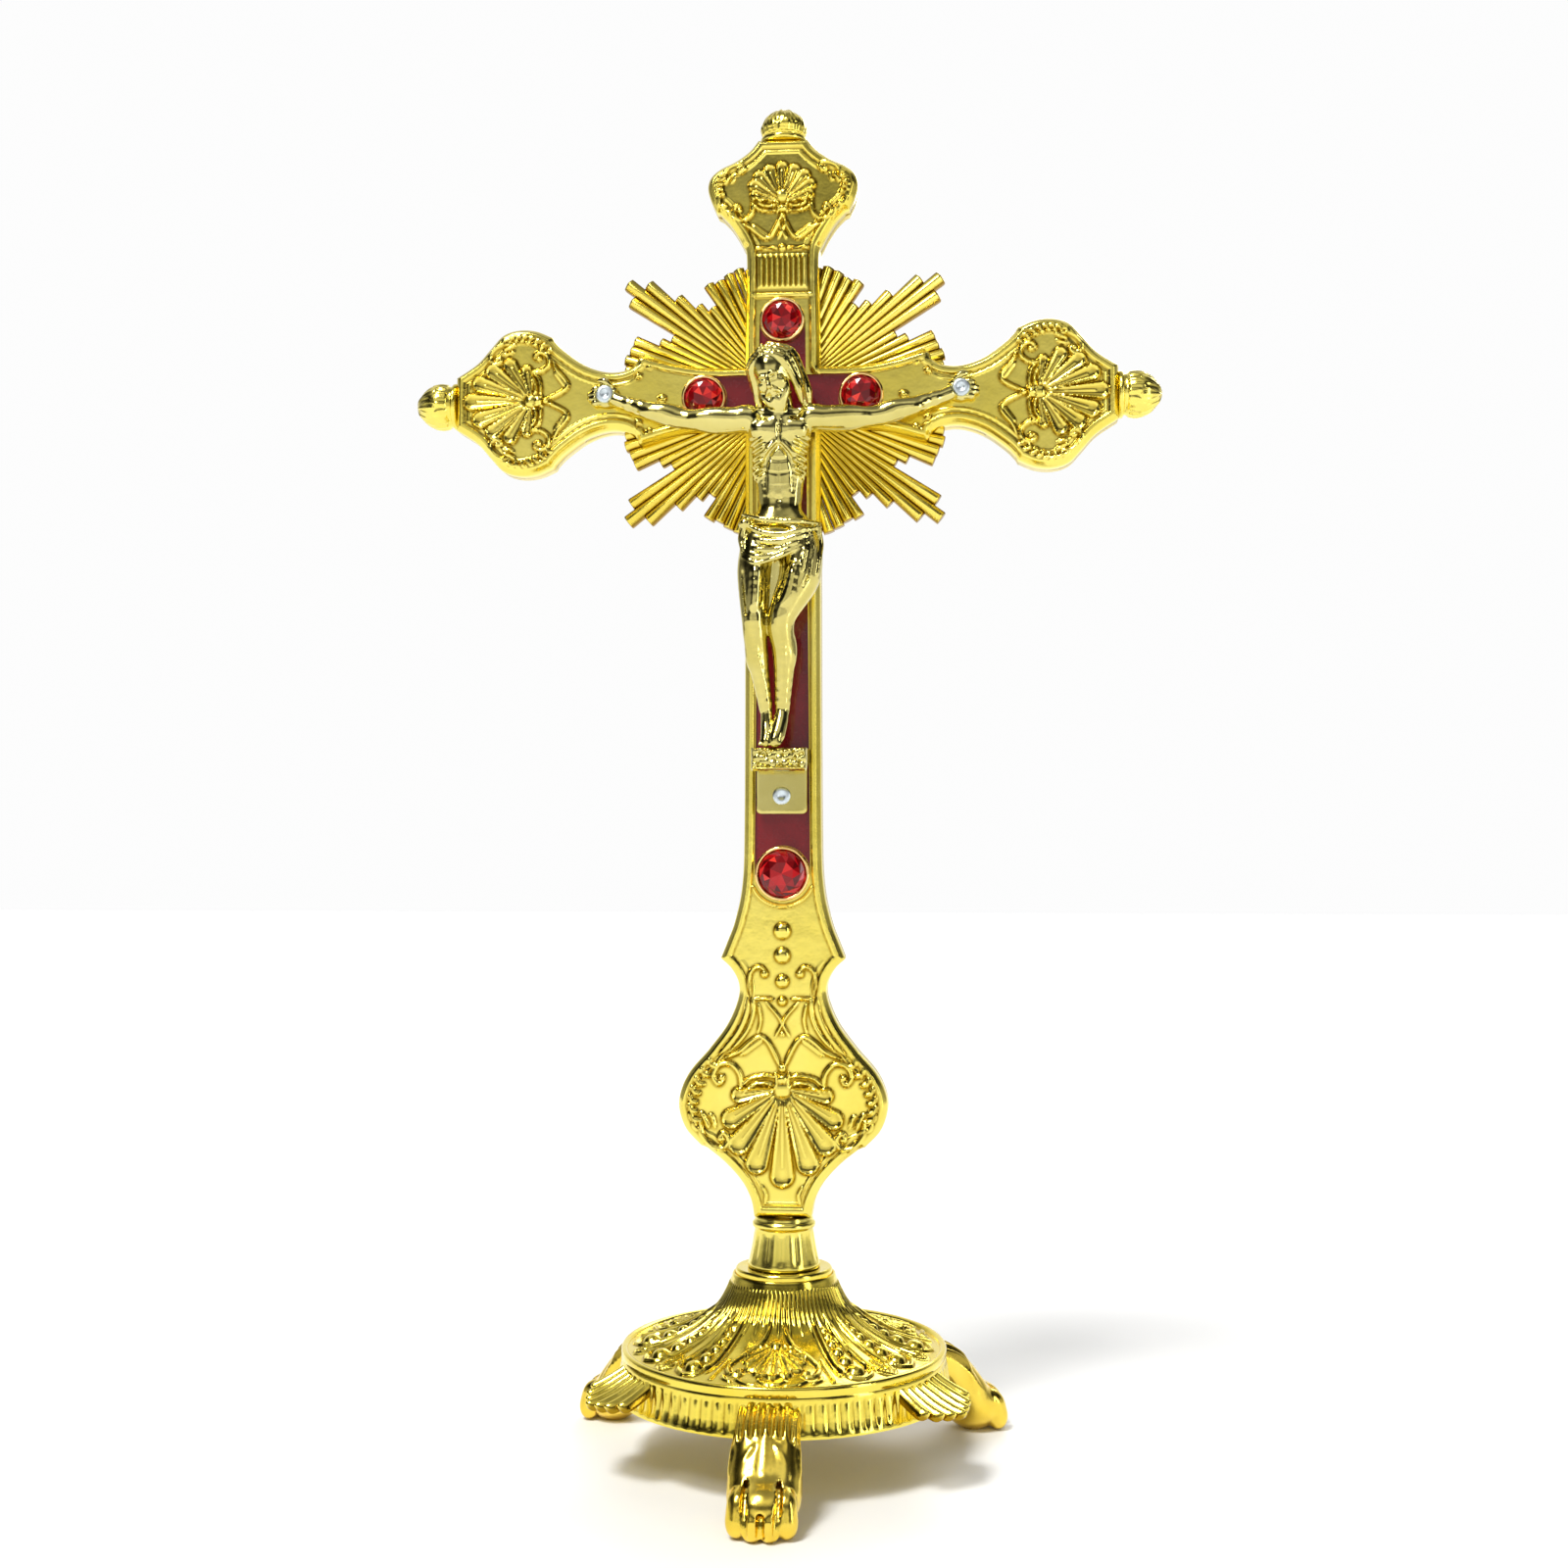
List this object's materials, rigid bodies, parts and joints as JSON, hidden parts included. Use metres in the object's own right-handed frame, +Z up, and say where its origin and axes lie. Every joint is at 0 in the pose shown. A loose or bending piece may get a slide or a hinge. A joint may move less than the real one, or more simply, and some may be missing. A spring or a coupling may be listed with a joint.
{
  "type": "processional cross",
  "caption": "Gilt crucifix with enamel field, red stones and ray plate, on a stud that a nut clamps into a three-footed round base.",
  "frame": {"origin": "on the stud's axis, on the plane the three feet stand on", "axes": "+Z up along the stud; the cross faces -Y; its arms lie along X"},
  "size_m": [0.211, 0.1282, 0.377],
  "materials": {
    "gold_cross": "polished gold plating",
    "gold_rays": "satin gold plating",
    "gold_finial": "polished gold plating",
    "gold_ferrule": "polished gold plating",
    "gold_stud": "gold plating over a rolled thread",
    "gold_base": "polished gold plating",
    "gold_feet": "polished gold plating",
    "gold_bezel": "polished rose gold plating",
    "gold_corpus": "polished pale gold plating",
    "gold_footrest": "polished gold plating",
    "gold_nut": "gold plating",
    "red_enamel": "gloss enamel",
    "red_glass": "faceted, foiled",
    "rivet_metal": "satin",
    "plated_steel": "zinc plated"
  },
  "bodies": {
    "base": {"base_collar": "gold_base", "base_dome": "gold_base", "base_skirt": "gold_base", "foot_front": "gold_feet", "foot_right": "gold_feet", "foot_left": "gold_feet", "foot_screws": "plated_steel"},
    "clamp_washer": {"flat_washer": "plated_steel"},
    "cross": {"cross_front": "gold_cross", "cross_back": "gold_cross", "sunburst": "gold_rays", "enamel_inlay": "red_enamel", "bezel_top": "gold_bezel", "bezel_left": "gold_bezel", "bezel_right": "gold_bezel", "bezel_lower": "gold_bezel", "stone_top": "red_glass", "stone_left": "red_glass", "stone_right": "red_glass", "stone_lower": "red_glass", "corpus": "gold_corpus", "footrest": "gold_footrest", "rivet_left_hand": "rivet_metal", "rivet_right_hand": "rivet_metal", "rivet_feet": "rivet_metal", "finial_top": "gold_finial", "finial_left": "gold_finial", "finial_right": "gold_finial", "ferrule": "gold_ferrule", "threaded_stud": "gold_stud"},
    "spring_washer": {"lock_washer": "plated_steel"},
    "nut": {"nut": "gold_nut"}
  },
  "joints": [
    {"name": "cross_turn", "type": "hinge", "parent": "base", "child": "clamp_washer", "pos_m": [0, 0, 0.045], "axis": [0, 0, 1], "continuous": true},
    {"name": "cross_lift", "type": "slide", "parent": "clamp_washer", "child": "cross", "axis": [0, 0, 1], "range_m": [0, 0.06]},
    {"name": "nut_travel", "type": "slide", "parent": "clamp_washer", "child": "spring_washer", "axis": [0, 0, -1], "range_m": [0, 0.00875]},
    {"name": "nut_spin", "type": "hinge", "parent": "spring_washer", "child": "nut", "pos_m": [0, 0, 0.039], "axis": [0, 0, -1], "range_deg": [0, 2520]}
  ],
  "couplings": [
    {"joint": "nut_travel", "follows": "nut_spin", "m_per_rad": 0.00019894}
  ]
}
